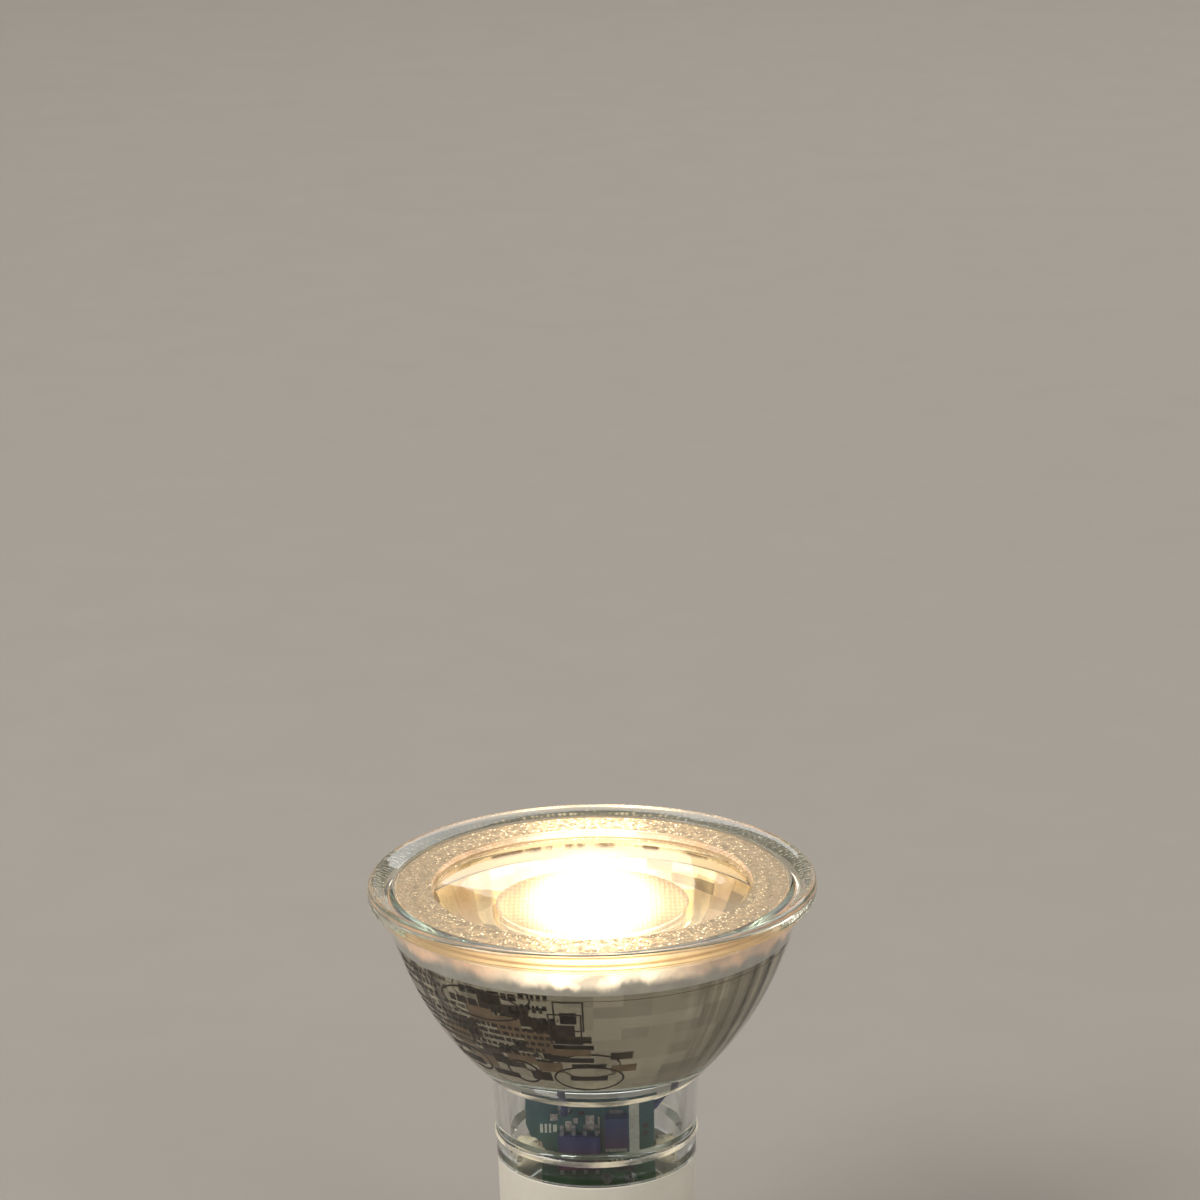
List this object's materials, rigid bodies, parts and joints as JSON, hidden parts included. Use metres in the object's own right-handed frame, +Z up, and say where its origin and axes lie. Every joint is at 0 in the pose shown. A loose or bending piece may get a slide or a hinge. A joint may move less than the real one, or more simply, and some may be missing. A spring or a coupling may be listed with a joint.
{
  "type": "led spotlight bulb with two-pin twist base",
  "caption": "Glass reflector spotlight bulb: faceted clear bowl with a moulded front lens, a driver board in the neck, and a white two-pin twist-lock base.",
  "frame": {"origin": "centre of the base's end face, midway between the two contact pins", "axes": "+Z up the bulb's axis to the lens; the pins lie along X; the driver board's component side faces -Y"},
  "size_m": [0.05, 0.05, 0.054],
  "materials": {
    "clear_glass": "clear pressed glass, faceted inside, thin semi-reflective coat",
    "clear_plastic": "clear moulded lens, stippled flange",
    "sealant": "cured silicone, satin",
    "led_board_white": "white solder mask on aluminium",
    "white_silicone": "white silicone dam",
    "phosphor": "yellow phosphor gel",
    "circuit_board": "green solder mask on glass fibre",
    "solder": "bright solder",
    "chip_black": "moulded black epoxy",
    "ceramic_tan": "fired ceramic",
    "capacitor_sleeve": "shrunk plastic sleeve",
    "tinned_wire": "tinned copper",
    "ferrite": "grey ferrite",
    "enamelled_copper": "enamelled copper wire",
    "resistor_coat": "flameproof lacquer",
    "wire_blue": "insulated wire, satin",
    "base_plastic": "white moulded plastic, satin",
    "nickel": "nickel-plated brass"
  },
  "bodies": {
    "root": {"glass_envelope": "clear_glass", "front_lens": "clear_plastic", "lens_adhesive": "sealant", "led_board": "led_board_white", "led_dam": "white_silicone", "led_phosphor": "phosphor", "driver_board": "circuit_board", "solder_joints": "solder", "driver_chip": "chip_black", "bridge_rectifier": "chip_black", "output_diode": "chip_black", "chip_resistors": "chip_black", "chip_capacitors": "ceramic_tan", "filter_capacitor": "capacitor_sleeve", "capacitor_leads": "tinned_wire", "inductor_core": "ferrite", "inductor_winding": "enamelled_copper", "inductor_leads": "tinned_wire", "fusible_resistor": "resistor_coat", "resistor_leads": "tinned_wire", "pin_wire": "tinned_wire", "led_wire_plus": "wire_blue", "led_wire_minus": "wire_blue", "base_cap": "base_plastic", "contact_pin_left": "nickel", "contact_pin_right": "nickel", "silicone_left": "sealant", "silicone_right": "sealant"}
  },
  "joints": []
}
